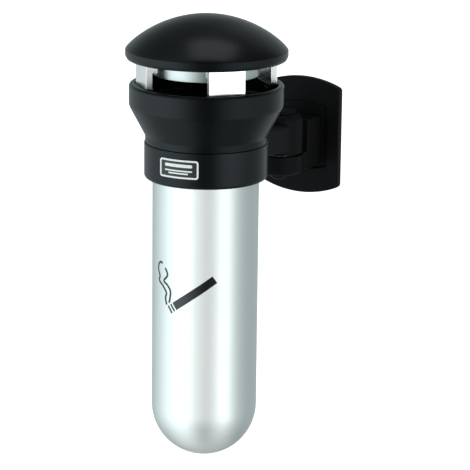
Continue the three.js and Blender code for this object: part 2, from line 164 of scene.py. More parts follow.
def loft(name, loops):
    """Skins a list of closed loops of 3-D points, all with as many points, and caps both ends."""
    mesh = bmesh.new()
    rings = [[mesh.verts.new(p) for p in loop] for loop in loops]
    count = len(rings[0])
    for a, b in zip(rings, rings[1:]):
        for i in range(count):
            j = (i + 1) % count
            mesh.faces.new((a[i], a[j], b[j], b[i]))
    mesh.faces.new(rings[0])
    mesh.faces.new(rings[-1])
    return make_object(name, mesh)


def soft_block(name, low, high, edge, steps=4):
    """A box with all of its edges rounded."""
    mesh = bmesh.new()
    bmesh.ops.create_cube(mesh, size=1)
    size = Vector(high) - Vector(low)
    middle = (Vector(high) + Vector(low)) / 2
    for v in mesh.verts:
        v.co = Vector(a * b for a, b in zip(v.co, size)) + middle
    bmesh.ops.bevel(mesh, geom=list(mesh.edges), offset=edge, segments=steps, profile=0.5,
                    affect="EDGES")
    return make_object(name, mesh)


def combine(obj, others, operation):
    """Joins other solids to obj or cuts them out of it, removes them and closes hairline tears."""
    for other in others:
        boolean = obj.modifiers.new("shape", "BOOLEAN")
        boolean.solver = "EXACT"
        boolean.operation = operation
        boolean.object = other
    bpy.context.view_layer.update()
    shaped = obj.evaluated_get(bpy.context.evaluated_depsgraph_get())
    mesh = bpy.data.meshes.new_from_object(shaped)
    mesh.name = obj.name
    clean = bmesh.new()
    clean.from_mesh(mesh)
    bmesh.ops.remove_doubles(clean, verts=clean.verts[:], dist=0.001 * MM)
    bmesh.ops.dissolve_degenerate(clean, edges=clean.edges[:], dist=0.001 * MM)
    clean.to_mesh(mesh)
    clean.free()
    old = obj.data
    obj.modifiers.clear()
    obj.data = mesh
    bpy.data.meshes.remove(old)
    for other in others:
        bpy.data.meshes.remove(other.data)
    return obj


def even_shading(obj):
    """Keeps large flat faces flat beside rounded edges."""
    weighted = obj.modifiers.new("even_shading", "WEIGHTED_NORMAL")
    weighted.keep_sharp = True
    weighted.weight = 80


def drill(name, radius, bottom, top, centre, sides=48):
    return lathe(name, [(0, bottom), (radius, bottom), (radius, top), (0, top)], centre, False, sides)


def stepped_drill(name, radius, bottom, step, upper_radius, top, centre, sides):
    outline = [(0, bottom), (radius, bottom), (radius, step), (upper_radius, step),
               (upper_radius, top), (0, top)]
    return lathe(name, outline, centre, False, sides)


# ---- finishes ----------------------------------------------------------------------------------
class Finish:
    """A node material built up step by step."""

    def __init__(self, name):
        self.material = bpy.data.materials.new(name)
        self.material.use_nodes = True
        self.tree = self.material.node_tree
        self.shader = self.tree.nodes["Principled BSDF"]
        self.place = self.add("ShaderNodeTexCoord").outputs["Object"]

    def add(self, kind, **settings):
        node = self.tree.nodes.new(kind)
        for key, value in settings.items():
            setattr(node, key, value)
        return node

    def link(self, source, target):
        self.tree.links.new(source, target)

    def noise(self, scale, detail=3.0, stretch=(1, 1, 1), roughness=0.5):
        """Noise with about scale features a metre, drawn out along an axis where stretch is low."""
        mapping = self.add("ShaderNodeMapping")
        mapping.inputs["Scale"].default_value = stretch
        self.link(self.place, mapping.inputs["Vector"])
        noise = self.add("ShaderNodeTexNoise")
        noise.inputs["Scale"].default_value = scale
        noise.inputs["Detail"].default_value = detail
        noise.inputs["Roughness"].default_value = roughness
        self.link(mapping.outputs["Vector"], noise.inputs["Vector"])
        return noise.outputs["Fac"]

    def spread(self, factor, low, high, start=0.3, end=0.7):
        node = self.add("ShaderNodeMapRange")
        node.inputs["From Min"].default_value = start
        node.inputs["From Max"].default_value = end
        node.inputs["To Min"].default_value = low
        node.inputs["To Max"].default_value = high
        self.link(factor, node.inputs["Value"])
        return node.outputs["Result"]

    def colours(self, factor, *stops):
        ramp = self.add("ShaderNodeValToRGB")
        elements = ramp.color_ramp.elements
        while len(elements) < len(stops):
            elements.new(0.5)
        for element, (position, colour) in zip(elements, stops):
            element.position = position
            element.color = (*colour, 1)
        self.link(factor, ramp.inputs["Fac"])
        return ramp.outputs["Color"]

    def bump(self, height, strength, distance):
        node = self.add("ShaderNodeBump")
        node.inputs["Strength"].default_value = strength
        node.inputs["Distance"].default_value = distance * MM
        self.link(height, node.inputs["Height"])
        self.link(node.outputs["Normal"], self.shader.inputs["Normal"])

    def set(self, **values):
        for key, value in values.items():
            socket = self.shader.inputs[key.replace("_", " ")]
            if isinstance(value, bpy.types.NodeSocket):
                self.link(value, socket)
            else:
                socket.default_value = value
        return self


def black_coat(name, base, gloss, roughness, grain_size=1500):
    """Fine-grained black coating; gloss is its specular level."""
    f = Finish(name)
    grain = f.noise(grain_size, 2)
    patches = f.noise(18, 4)
    light = tuple(c * 1.3 for c in base)
    facing = f.add("ShaderNodeLayerWeight").outputs["Facing"]
    f.set(Base_Color=f.colours(patches, (0.3, base), (0.7, light)), Specular_Tint=(0.88, 0.95, 1, 1),
          Specular_IOR_Level=f.spread(facing, gloss, gloss * 0.18, 0.6, 0.95),
          Roughness=f.spread(patches, roughness - 0.03, roughness + 0.03))
    f.bump(grain, 0.16, 0.1)
    return f.material


def brushed(name, tint, shade, roughness, anisotropy, rotation=0.0, lines=2600):
    """Steel brushed round the upright axis: fine level lines, slightly uneven in tone."""
    f = Finish(name)
    scratches = f.noise(1.0, 4, (26, 26, lines), 0.65)
    clouds = f.noise(14, 3, (1, 1, 0.35))
    tone = f.add("ShaderNodeMix", data_type="FLOAT")
    tone.inputs[0].default_value = 0.45
    f.link(scratches, tone.inputs[2])
    f.link(clouds, tone.inputs[3])
    tangent = f.add("ShaderNodeTangent", direction_type="RADIAL", axis="Z")
    f.set(Base_Color=f.colours(tone.outputs[0], (0.32, shade), (0.68, tint)), Metallic=1.0,
          Roughness=f.spread(scratches, roughness - 0.05, roughness + 0.06),
          Specular_Tint=(0.8, 0.8, 0.8, 1), Anisotropic=anisotropy, Anisotropic_Rotation=rotation,
          Tangent=tangent.outputs["Tangent"])
    f.bump(scratches, 0.05, 0.04)
    return f.material


def satin_steel(name, brightness, roughness):
    f = Finish(name)
    scratches = f.noise(1.0, 3, (40, 40, 2200), 0.6)
    clouds = f.noise(60, 2)
    tones = [tuple(c * brightness for c in tone) for tone in ((0.95, 0.94, 0.93), (1.0, 0.985, 0.975))]
    f.set(Base_Color=f.colours(clouds, (0.3, tones[0]), (0.7, tones[1])),
          Metallic=1.0, Roughness=f.spread(scratches, roughness, roughness + 0.1))
    f.bump(scratches, 0.04, 0.04)
    return f.material


def zinc_plate():
    f = Finish("zinc_plate")
    spangle = f.noise(260, 4)
    f.set(Base_Color=f.colours(spangle, (0.3, (0.42, 0.44, 0.46)), (0.7, (0.60, 0.61, 0.62))),
          Metallic=1.0, Roughness=f.spread(spangle, 0.32, 0.48))
    f.bump(spangle, 0.08, 0.05)
    return f.material


def bush_polymer():
    f = Finish("bush_polymer")
    grain = f.noise(900, 3)
    f.set(Base_Color=f.colours(grain, (0.3, (0.62, 0.59, 0.50)), (0.7, (0.70, 0.67, 0.58))),
          Roughness=f.spread(grain, 0.5, 0.62))
    f.bump(grain, 0.1, 0.06)
    return f.material


def gasket_rubber():
    f = Finish("gasket_rubber")
    grain = f.noise(1200, 3)
    f.set(Base_Color=f.colours(grain, (0.3, (0.006, 0.006, 0.006)), (0.7, (0.011, 0.011, 0.012))),
          Roughness=f.spread(grain, 0.75, 0.9))
    f.bump(grain, 0.2, 0.08)
    return f.material


def print_ink(name, dark, light, roughness, graded=False):
    """Printed or moulded plastic. Graded, it runs from light at the left to dark at the right."""
    f = Finish(name)
    grain = f.noise(1300, 3)
    factor = grain
    if graded:
        generated = f.add("ShaderNodeTexCoord").outputs["Generated"]
        split = f.add("ShaderNodeSeparateXYZ")
        f.link(generated, split.inputs["Vector"])
        factor = split.outputs["X"]
    f.set(Base_Color=f.colours(factor, (0.25, light if graded else dark),
                               (0.75, dark if graded else light)),
          Roughness=f.spread(grain, roughness, roughness + 0.08))
    f.bump(grain, 0.06, 0.03)
    return f.material


MATERIALS = {
    "black_coat": black_coat("black_coat", (0.0017, 0.0021, 0.0024), 0.28, 0.29),
    # A copy of the black coat with a paler base and less gloss, toned for how light falls on the wall
    # bracket, barrel, cap and post nut: painted light and shade. The coating itself is the same as the
    # black coat.
    "painted_light_coat": black_coat("painted_light_coat", (0.0050, 0.0050, 0.0052), 0.045, 0.45),
    "brushed_steel": brushed("brushed_steel", (0.87, 0.88, 0.865), (0.81, 0.825, 0.81), 0.45, 0.4, 0.25),
    "drum_steel": brushed("drum_steel", (0.68, 0.71, 0.70), (0.58, 0.61, 0.60), 0.36, 0.5),
    "satin_steel": satin_steel("satin_steel", 1.0, 0.24),
    "sawn_steel": satin_steel("sawn_steel", 0.72, 0.42),
    "zinc_plate": zinc_plate(),
    "bush_polymer": bush_polymer(),
    "gasket_rubber": gasket_rubber(),
    "badge_pale": print_ink("badge_pale", (0.84, 0.86, 0.86), (0.92, 0.93, 0.93), 0.38),
    "badge_dark": print_ink("badge_dark", (0.012, 0.014, 0.015), (0.02, 0.022, 0.023), 0.4),
    "ink_bar": print_ink("ink_bar", (0.002, 0.002, 0.002), (0.045, 0.045, 0.05), 0.42, True),
    "ink_smoke": print_ink("ink_smoke", (0.03, 0.035, 0.035), (0.055, 0.06, 0.06), 0.45),
}


# ---- roof --------------------------------------------------------------------------------------
DOME_RIM = 7.5                      # height of the upright band round the roof's edge
DOME_WALL = 3.2
BOLT_HOLE = 4.4                     # radius of the holes for the roof bolt


def dome_curve(radius, height, base, steps, first=0.0):
    """Flattened dome from its edge to its top; first is the fraction of the radius to stop at."""
    points = []
    last = math.asin(first)
    for i in range(steps + 1):
        fraction = math.sin(math.pi / 2 + (last - math.pi / 2) * i / steps)
        points.append(Vector((radius * fraction, base + height * (1 - fraction ** 2.01) ** 0.8475)))
    return points


def build_dome():
    base = DOME.bottom + DOME_RIM
    inner = DOME.radius - DOME_WALL
    bolt = Round("roof_bolt")
    boss_radius = 10
    boss_bottom, hole_top = Round("carrier_plate").top + GAP, bolt.top + 3
    rise = DOME.top - base
    outside = dome_curve(DOME.radius, rise, base, 48)
    inside = dome_curve(inner, rise - DOME_WALL, base, 32, (boss_radius + 1.5) / inner)
    lip = rounded([(DOME.radius, base - 0.01), (DOME.radius, base - 4.8, 4),
                   (DOME.radius - 1.5, DOME.bottom, 0.7), (inner, DOME.bottom, 0.5),
                   (inner, base - 0.01)], closed=False)
    boss = rounded([tuple(inside[-1]), (boss_radius, inside[-1].y + 0.2, 0.8),
                    (boss_radius, boss_bottom, 0.6), (BOLT_HOLE, boss_bottom, 0.4),
                    (BOLT_HOLE, hole_top), (0, hole_top)], closed=False, steps=3)
    outside[-1].x = 0
    profile = list(reversed(outside)) + lip + inside[:-1] + boss
    add_piece(lathe("roof_dome", profile, closed=False, sides=192), "head", "black_coat", ["dome"])


def build_drum():
    wall = 1.5
    inner, low, high = DRUM.radius - wall, DRUM.bottom, DRUM.top
    profile = rounded([(BOLT_HOLE, high - wall), (inner, high - wall, 1.4), (inner, low, 0.6),
                       (DRUM.radius, low, 0.6), (DRUM.radius, high, 2), (BOLT_HOLE, high)], steps=6)
    add_piece(lathe("roof_drum", profile), "head", "drum_steel", ["drum"])


def fastener(node, body, head_height, shank_radius, head_up, socket_size):
    """A pan-headed screw with a hexagonal socket."""
    size = Round(node)
    centre = Vector((size.x, size.y, 0))
    head, drop, radius = size.top, -1, size.radius / math.cos(math.pi / 12)
    if not head_up:
        head, drop = size.bottom, 1
    end = size.bottom if head_up else size.top
    seat = head + drop * head_height
    outline = rounded([(0, head), (radius, head, 0.9), (radius, seat, 0.2), (shank_radius, seat),
                       (shank_radius, end, 0.4), (0, end)], closed=False, steps=4)
    obj = lathe(node + "_visual", outline, centre, False, 48)
    deep = sorted((head - drop * 0.5, head + drop * head_height * 0.6))
    socket = lathe("socket", [(0, deep[0]), (socket_size, deep[0]), (socket_size, deep[1]),
                              (0, deep[1])], centre, False, 6)
    combine(obj, [socket], "DIFFERENCE")
    add_piece(obj, body, "zinc_plate", [node])


def build_roof_hardware():
    plate = Round("carrier_plate")
    disc = lathe("roof_carrier", rounded([
        (BOLT_HOLE, plate.bottom, 0.2), (plate.radius, plate.bottom, 0.5),
        (plate.radius, plate.top, 0.5), (BOLT_HOLE, plate.top, 0.2)], steps=3))
    holes = []
    for corner in LEG_NAMES:
        screw = Round(corner + "_top_screw")
        centre = Vector((screw.x, screw.y, 0))
        holes.append(drill("hole", TOP_SCREW_HOLE, plate.bottom - 1, plate.top + 1, centre, 44))
    combine(disc, holes, "DIFFERENCE")
    add_piece(disc, "head", "zinc_plate", ["carrier_plate"])
    washer = Round("roof_washer")
    ring = rounded([(BOLT_HOLE, washer.bottom, 0.2), (washer.radius, washer.bottom, 0.4),
                    (washer.radius, washer.top, 0.4), (BOLT_HOLE, washer.top, 0.2)], steps=3)
    add_piece(lathe("roof_washer_visual", ring, sides=64), "head", "zinc_plate", ["roof_washer"])
    fastener("roof_bolt", "head", 4.6, 4, False, 3)
    for corner in LEG_NAMES:
        fastener(corner + "_top_screw", "head", 2.8, 2, True, 1.5)
        fastener(corner + "_foot_screw", "head", 2.3, 1.5, False, 1.2)


# ---- legs --------------------------------------------------------------------------------------
LEG_NAMES = ("front_right", "rear_right", "rear_left", "front_left")
LEG_HALF_WIDTH, LEG_THICKNESS = 15.4, 5.6
TAB_DEPTH = 10.1                    # from the leg's outer face to the end of its tab
TAB_THICKNESS, TAB_LIP = 8.1, 3.1   # at its root, and how far its tip hangs below that
FOOT_SCREW_HOLE, TOP_SCREW_HOLE = 1.8, 2.3


def build_legs():
    for corner in LEG_NAMES:
        low, high = corners(corner + "_leg")
        middle = (low + high) / 2
        turned = math.atan2(middle.y - BIN.y, middle.x - BIN.x)
        far = max(abs(low.x - BIN.x), abs(high.x - BIN.x))
        outer = far * math.sqrt(2) - LEG_HALF_WIDTH
        bottom, top = low.z, high.z
        inner, end = outer - LEG_THICKNESS, outer - TAB_DEPTH
        side = rounded([(outer, bottom, 0.5), (outer, top, 0.3), (end, top, 0.3),
                        (end, top - TAB_THICKNESS - 1.3, 0.4),
                        (end + 1.3, top - TAB_THICKNESS - TAB_LIP, 0.5),
                        (inner, top - TAB_THICKNESS, 0.8), (inner, bottom, 0.5)], steps=3)
        shrink = 0.45
        radial = Vector((math.cos(turned), math.sin(turned), 0))
        sideways = Vector((-radial.y, radial.x, 0))
        half = LEG_HALF_WIDTH
        stations = [(-half, shrink), (-half + 0.15, 0.15), (-half + shrink, 0),
                    (half - shrink, 0), (half - 0.15, 0.15), (half, shrink)]
        rings = []
        for across, inset in stations:
            ring = []
            for i, point in enumerate(side):
                before, after = side[i - 1], side[(i + 1) % len(side)]
                along = (after - before).normalized()
                inward = Vector((-along.y, along.x))
                p = point + inward * inset
                ring.append(BIN + radial * p.x + sideways * across + Vector((0, 0, p.y)))
            rings.append(ring)
        leg = loft("roof_leg_" + corner, rings)
        foot, screw = Round(corner + "_foot_screw"), Round(corner + "_top_screw")
        foot_place, top_place = Vector((foot.x, foot.y, 0)), Vector((screw.x, screw.y, 0))
        holes = [drill("hole", FOOT_SCREW_HOLE, bottom - 1, foot.top + 1, foot_place, 32),
                 drill("hole", TOP_SCREW_HOLE, screw.bottom - 0.8, top + 1, top_place, 32)]
        combine(leg, holes, "DIFFERENCE")
        add_piece(leg, "head", "satin_steel", [corner + "_leg"])
        leg.data.materials.append(MATERIALS["sawn_steel"])
        for face in leg.data.polygons:
            if abs(face.normal.dot(sideways)) > 0.9:
                face.material_index = 1
        even_shading(leg)


# ---- bowl --------------------------------------------------------------------------------------
BOWL_BAND = 18.1                    # height of the bowl's upright band
BOWL_WALL = 4.7                     # of that band
NECK, NECK_TOP = 50.7, 32.8
SPIGOT, SPIGOT_BORE = 46.8, 41      # the part of the bowl that stands in the collar
THROAT = 45.8                       # radius inside the bowl where its cone ends
SPIGOT_SHOULDER = 26                # height where the spigot's bore widens towards the throat
PAD_REACH = (49.5, 61)              # leg pads, from the bin's axis
PAD_HALF_WIDTH, PAD_TOP, PAD_BOTTOM = 16.3, 0.6, 4.4   # heights below the rim


def build_bowl():
    rim, foot, outer = BOWL.top, BOWL.bottom, BOWL.radius
    seal = Round("neck_gasket")
    seat, skirt = seal.top + GAP, seal.radius + GAP
    cone_top = rim - BOWL_BAND
    wall_inside = outer - BOWL_WALL
    profile = rounded([
        (SPIGOT_BORE, foot, 0.6), (SPIGOT, foot, 1), (SPIGOT, seat), (skirt, seat),
        (skirt, seal.bottom), (NECK, seal.bottom, 0.3), (NECK, NECK_TOP, 1.2), (outer, cone_top, 9),
        (outer, rim, 2.6), (wall_inside, rim, 1.4), (wall_inside, cone_top + 2.6, 4),
        (THROAT, NECK_TOP + 0.6, 3), (SPIGOT_BORE, SPIGOT_SHOULDER, 1),
    ], steps=8)
    obj = lathe("bowl_shell", profile)
    pads = []
    for corner in LEG_NAMES:
        foot_screw = Round(corner + "_foot_screw")
        turned = math.atan2(foot_screw.y - BIN.y, foot_screw.x - BIN.x)
        pad = soft_block("pad", (PAD_REACH[0], -PAD_HALF_WIDTH, rim - PAD_BOTTOM),
                         (PAD_REACH[1], PAD_HALF_WIDTH, rim - PAD_TOP), 0.7, 3)
        pad.data.transform(Matrix.Translation(BIN * MM) @ Matrix.Rotation(turned, 4, "Z"))
        pads.append(pad)
    combine(obj, pads, "UNION")
    holes = [drill("hole", FOOT_SCREW_HOLE, rim - 6, rim + 1, Vector((s.x, s.y, 0)), 32)
             for s in (Round(corner + "_foot_screw") for corner in LEG_NAMES)]
    combine(obj, holes, "DIFFERENCE")
    add_piece(obj, "head", "black_coat", ["bowl"], 38)
    even_shading(obj)
    seal_bore = SPIGOT + GAP
    ring = rounded([(seal_bore, seal.bottom, 0.2), (seal.radius, seal.bottom, 0.3),
                    (seal.radius, seal.top, 0.3), (seal_bore, seal.top, 0.2)], steps=3)
    add_piece(lathe("neck_seal", ring), "head", "gasket_rubber", ["neck_gasket"])


# ---- collar, arm and barrel --------------------------------------------------------------------
COLLAR_BOTTOM, COLLAR_RADIUS = -3.2, 51.45
ARM_HALF_WIDTH, ARM_FILLET = 16, 8
ARM_AT_COLLAR, ARM_AT_BARREL = (5.5, 26), (-7, 19.6)    # heights of its underside and top


def arm_loops(barrel_radius):
    """Sections of the arm from the collar's wall into the barrel's, with filleted flanks."""
    start, end = BIN.y + COLLAR_RADIUS - 5, SWIVEL.y - 9
    wide = ARM_HALF_WIDTH + ARM_FILLET
    reach = math.sqrt((barrel_radius + ARM_FILLET) ** 2 - wide ** 2)
    sweep = math.atan2(reach, wide)
    stations = [(start, ARM_HALF_WIDTH)]
    for i in range(9):
        a = sweep * i / 8
        stations.append((SWIVEL.y - reach + ARM_FILLET * math.sin(a), wide - ARM_FILLET * math.cos(a)))
    stations.append((end, stations[-1][1]))
    loops = []
    for y, half in stations:
        share = (y - start) / (end - start)
        bottom, top = (a + (b - a) * share for a, b in zip(ARM_AT_COLLAR, ARM_AT_BARREL))
        outline = rounded([(-half, bottom, 2.5), (half, bottom, 2.5), (half, top, 3.5),
                           (-half, top, 3.5)], steps=6)
        loops.append([(SWIVEL.x + p.x, y, p.y) for p in outline])
    return loops


def build_collar():
    low, high = corners("collar_arm")
    top, barrel_bottom = Round("neck_gasket").bottom - GAP, low.z
    cap = Round("pivot_cap")
    bore, socket_bore, ledge = 45.2, 47.2, 11.2
    collar = lathe("collar_body", rounded([
        (bore, COLLAR_BOTTOM, 0.6), (COLLAR_RADIUS, COLLAR_BOTTOM, 3), (COLLAR_RADIUS, top, 0.3),
        (socket_bore, top, 0.5), (socket_bore, ledge, 0.3), (bore, ledge, 0.4)], steps=6))
    radius, shoulder = high.y - SWIVEL.y, 7.2
    barrel_top = cap.bottom + 2.2
    side = [Vector((radius - 5.3 + 5.3 * math.sin(a), barrel_top - shoulder * (1 - math.cos(a))))
            for a in (math.pi / 2 * i / 12 for i in range(13))]
    foot = rounded([side[-1], (radius, barrel_bottom, 0.8), (0, barrel_bottom)], closed=False)
    barrel = lathe("barrel", [(0, barrel_top)] + side + foot[1:], SWIVEL, False, 128)
    arm = loft("arm", arm_loops(radius))
    combine(collar, [barrel, arm], "UNION")
    lock = corners("head_lock_screw")
    lock_middle = (lock[0] + lock[1]) / 2
    outward = Vector((lock_middle.x - BIN.x, lock_middle.y - BIN.y, 0)).normalized()
    lock_hole = lathe("hole", [(0, -12), (2.8, -12), (2.8, 8), (0, 8)], Vector((0, 0, 0)), False, 32)
    aim = Vector((0, 0, 1)).rotation_difference(outward).to_matrix().to_4x4()
    lock_hole.data.transform(Matrix.Translation(lock_middle * MM) @ aim)
    bush_bore, pocket_radius, pocket_floor = 12, 13.4, 16.4
    # The collar is cleared again inside, where the arm's end came through its wall.
    cuts = [stepped_drill("hole", bush_bore, barrel_bottom - 1, pocket_floor, pocket_radius,
                          barrel_top + 1, SWIVEL, 100),
            stepped_drill("hole", bore - 0.05, COLLAR_BOTTOM - 1, ledge + 0.05, socket_bore - 0.05,
                          top - 0.6, BIN, 160), lock_hole]
    combine(collar, cuts, "DIFFERENCE")
    collar.name = "collar_arm_visual"
    add_piece(collar, "swing_arm", "black_coat", ["collar_arm"], 40)
    # The arm and barrel behind the collar get the copy of the black coat toned for the light on that
    # side: painted light and shade on one casting.
    collar.data.materials.append(MATERIALS["painted_light_coat"])
    for face in collar.data.polygons:
        if face.center.y / MM > BIN.y + COLLAR_RADIUS:
            face.material_index = 1
    even_shading(collar)

    reach = Vector((lock_middle.x - BIN.x, lock_middle.y - BIN.y, 0)).length
    screw = lathe("lock_screw", rounded([(0, -1.8), (2.5, -1.8, 0.3), (2.5, 1.8, 0.3), (0, 1.8)],
                                        closed=False, steps=3), Vector((0, 0, 0)), False, 32)
    socket = lathe("socket", [(0, 0.2), (1.4, 0.2), (1.4, 3), (0, 3)], Vector((0, 0, 0)), False, 6)
    combine(screw, [socket], "DIFFERENCE")
    place = BIN + outward * reach + Vector((0, 0, lock_middle.z))
    screw.data.transform(Matrix.Translation(place * MM) @ aim)
    screw.name = "lock_screw_visual"
    add_piece(screw, "swing_arm", "zinc_plate", ["head_lock_screw"])


def build_swivel():
    stud, journal, thread = 5, 8, 4         # the post's radii in the lug, bushes and top nut
    shoulder, step = -9.3, 17               # heights where those change
    cap = Round("pivot_cap")
    plug, plug_bore = 13, 11.4
    profile = rounded([
        (0, cap.bottom + 4), (plug_bore, cap.bottom + 4), (plug_bore, cap.bottom, 0.4),
        (plug, cap.bottom, 0.4), (plug, cap.bottom + 2.5), (cap.radius, cap.bottom + 2.5, 0.3),
        (cap.radius, cap.top - 1.4, 2.2), (cap.radius - 6, cap.top - 0.35, 8), (0, cap.top)],
        closed=False, steps=8)
    obj = lathe("barrel_cap", profile, SWIVEL, False, 96)
    add_piece(obj, "swing_arm", "painted_light_coat", ["pivot_cap"])
    ring = Round("thrust_washer")
    profile = rounded([(journal + GAP, ring.bottom, 0.2), (ring.radius, ring.bottom, 0.25),
                       (ring.radius, ring.top, 0.25), (journal + GAP, ring.top, 0.2)], steps=3)
    add_piece(lathe("swivel_washer", profile, SWIVEL, True, 96), "wall_mount", "zinc_plate",
              ["thrust_washer"])
    nut = Round("post_domed_nut")
    hole, hole_end, dome_height = stud + GAP, PIVOT.bottom - GAP, 4.6
    dome = [Vector((nut.radius * math.cos(a), nut.bottom + dome_height * (1 - math.sin(a))))
            for a in (math.pi / 2 * i / 12 for i in range(13))]
    dome[-1].x = 0
    profile = [Vector((0, hole_end)), Vector((hole, hole_end))]
    profile += rounded([(hole, hole_end), (hole, nut.top, 0.2), (nut.radius, nut.top, 0.4),
                        tuple(dome[0])], closed=False, steps=3)[1:-1]
    add_piece(lathe("post_nut_visual", profile + dome, SWIVEL, False, 64), "wall_mount", "painted_light_coat",
              ["post_domed_nut"])
    post = rounded([(0, PIVOT.bottom), (stud, PIVOT.bottom, 0.6), (stud, shoulder, 0.1),
                    (journal, shoulder, 0.4), (journal, step, 0.4), (thread, step, 0.1),
                    (thread, PIVOT.top, 0.5), (0, PIVOT.top)], closed=False, steps=3)
    add_piece(lathe("post_visual", post, SWIVEL, False, 64), "wall_mount", "zinc_plate", ["pivot_post"])
    for node, finish, body, bore in (("lower_bush", "bush_polymer", "swing_arm", journal + GAP),
                                     ("upper_bush", "bush_polymer", "swing_arm", journal + GAP),
                                     ("post_top_washer", "zinc_plate", "wall_mount", thread + GAP)):
        size = Round(node)
        ring = rounded([(bore, size.bottom, 0.2), (size.radius, size.bottom, 0.3),
                        (size.radius, size.top, 0.3), (bore, size.top, 0.2)], steps=3)
        add_piece(lathe(node + "_visual", ring, SWIVEL, True, 64), body, finish, [node])


# ---- wall bracket ------------------------------------------------------------------------------
PLATE_HALF_WIDTH, PLATE_CORNER_TOP, PLATE_CORNER_BOTTOM, PLATE_RISE = 37.8, 44, 45.2, 8.2
PLATE_THICKNESS = 7
RECESS_HALF_WIDTH, RECESS_CORNER_TOP, RECESS_CORNER_BOTTOM, RECESS_RISE = 25.5, 26.8, 27.4, 3.6
RECESS_FLOOR = 2.6                  # its distance from the wall
FRAME_SLOPE = 1.1                   # how much lower the frame's face is at the recess than outside
KEYHOLE_HEIGHTS = (39.2, -43.9)


def panel(half_width, corner_top, corner_bottom, rise, corner, depth, inset=0.0):
    """A loop at y = -depth with straight sides and arched top and bottom, moved in by inset."""
    arc = (half_width ** 2 + rise ** 2) / (2 * rise)
    half, radius = half_width - inset, arc - inset

    def edge(x, height):
        return height + rise - inset - radius + math.sqrt(radius ** 2 - x ** 2)

    steps = 20
    run = half - max(corner - inset, 0.3) - 1.5
    size = max(corner - inset, 0.3)
    points = [(half, edge(half, corner_top), size)]
    points += [(run * (1 - 2 * i / steps), edge(run * (1 - 2 * i / steps), corner_top))
               for i in range(steps + 1)]
    points.append((-half, edge(half, corner_top), size))
    points.append((-half, -edge(half, corner_bottom), size))
    points += [(run * (2 * i / steps - 1), -edge(run * (2 * i / steps - 1), corner_bottom))
               for i in range(steps + 1)]
    points.append((half, -edge(half, corner_bottom), size))
    return [(p.x, -depth, p.y) for p in rounded(points, steps=6)]


def keyhole_cutters(z):
    """A blind keyhole in the plate's back: a round pocket, and a slot rising from it."""
    depth, head, slot, rise = 4.6, 4.5, 2.4, 6.5
    flank = slot * 0.99                 # just inside the slot's rounded end
    cutters = []
    for radius, height in ((head, z), (slot, z + rise)):
        pocket = lathe("hole", [(0, -1), (radius, -1), (radius, depth), (0, depth)],
                       Vector((0, 0, 0)), False, 40)
        pocket.data.transform(Matrix.Translation(Vector((0, 0, height)) * MM)
                              @ Matrix.Rotation(math.pi / 2, 4, "X"))
        cutters.append(pocket)
    mesh = bmesh.new()
    bmesh.ops.create_cube(mesh, size=1)
    for v in mesh.verts:
        v.co = Vector((v.co.x * 2 * flank, v.co.y * (depth + 1) - (depth - 1) / 2,
                       v.co.z * rise + z + rise / 2))
    cutters.append(make_object("hole", mesh))
    return cutters


def build_bracket():
    back = -corners("wall_bracket")[1].y
    outer = (PLATE_HALF_WIDTH, PLATE_CORNER_TOP, PLATE_CORNER_BOTTOM, PLATE_RISE, 3.6)
    recess = (RECESS_HALF_WIDTH, RECESS_CORNER_TOP, RECESS_CORNER_BOTTOM, RECESS_RISE, 1.2)
    edge = 1.2
    loops = [panel(*outer, back, 0.3), panel(*outer, back + 0.3)]
    for i in range(5):
        a = math.pi / 2 * i / 4
        loops.append(panel(*outer, PLATE_THICKNESS - edge + edge * math.sin(a),
                           edge * (1 - math.cos(a))))
    lip = PLATE_THICKNESS - FRAME_SLOPE
    for i in range(5):
        a = math.pi / 2 * i / 4
        loops.append(panel(*recess, lip - 1 + math.cos(a), -1 + math.sin(a)))
    for i in range(5):
        a = math.pi / 2 * i / 4
        loops.append(panel(*recess, RECESS_FLOOR + 0.8 - 0.8 * math.sin(a), 0.8 - 0.8 * math.cos(a)))
    plate = loft("bracket_body", loops)
    boss_half, boss_low, boss_top, boss_front = 18, -26.9, 18.3, -27.6
    lug_radius, lug_bottom, lug_top, post_hole = 21, -26.6, -9.6, 5.3
    boss = soft_block("boss", (-boss_half, boss_front, boss_low),
                      (boss_half, -RECESS_FLOOR + 1.4, boss_top), 1.3)
    web = soft_block("web", (-boss_half, SWIVEL.y + 6, lug_bottom + 2.5),
                     (boss_half, boss_front + 3, lug_top), 1.2)
    lug = lathe("lug", rounded([(0, lug_bottom), (lug_radius, lug_bottom, 4), (lug_radius, lug_top, 0.6),
                                (0, lug_top)], closed=False, steps=8), SWIVEL, False, 128)
    combine(plate, [boss, web, lug], "UNION")
    cuts = [drill("hole", post_hole, lug_bottom - 1, lug_top + 1, SWIVEL, 48)]
    for z in KEYHOLE_HEIGHTS:
        cuts += keyhole_cutters(z)
    combine(plate, cuts, "DIFFERENCE")
    plate.name = "wall_bracket_visual"
    # The bracket wears the copy of the black coat toned for the light on it: painted light and shade.
    add_piece(plate, "wall_mount", "painted_light_coat", ["wall_bracket"], 30)
    even_shading(plate)


# ---- canister ----------------------------------------------------------------------------------
TUBE_OUTER, TUBE_WALL = 44.45, 1.2


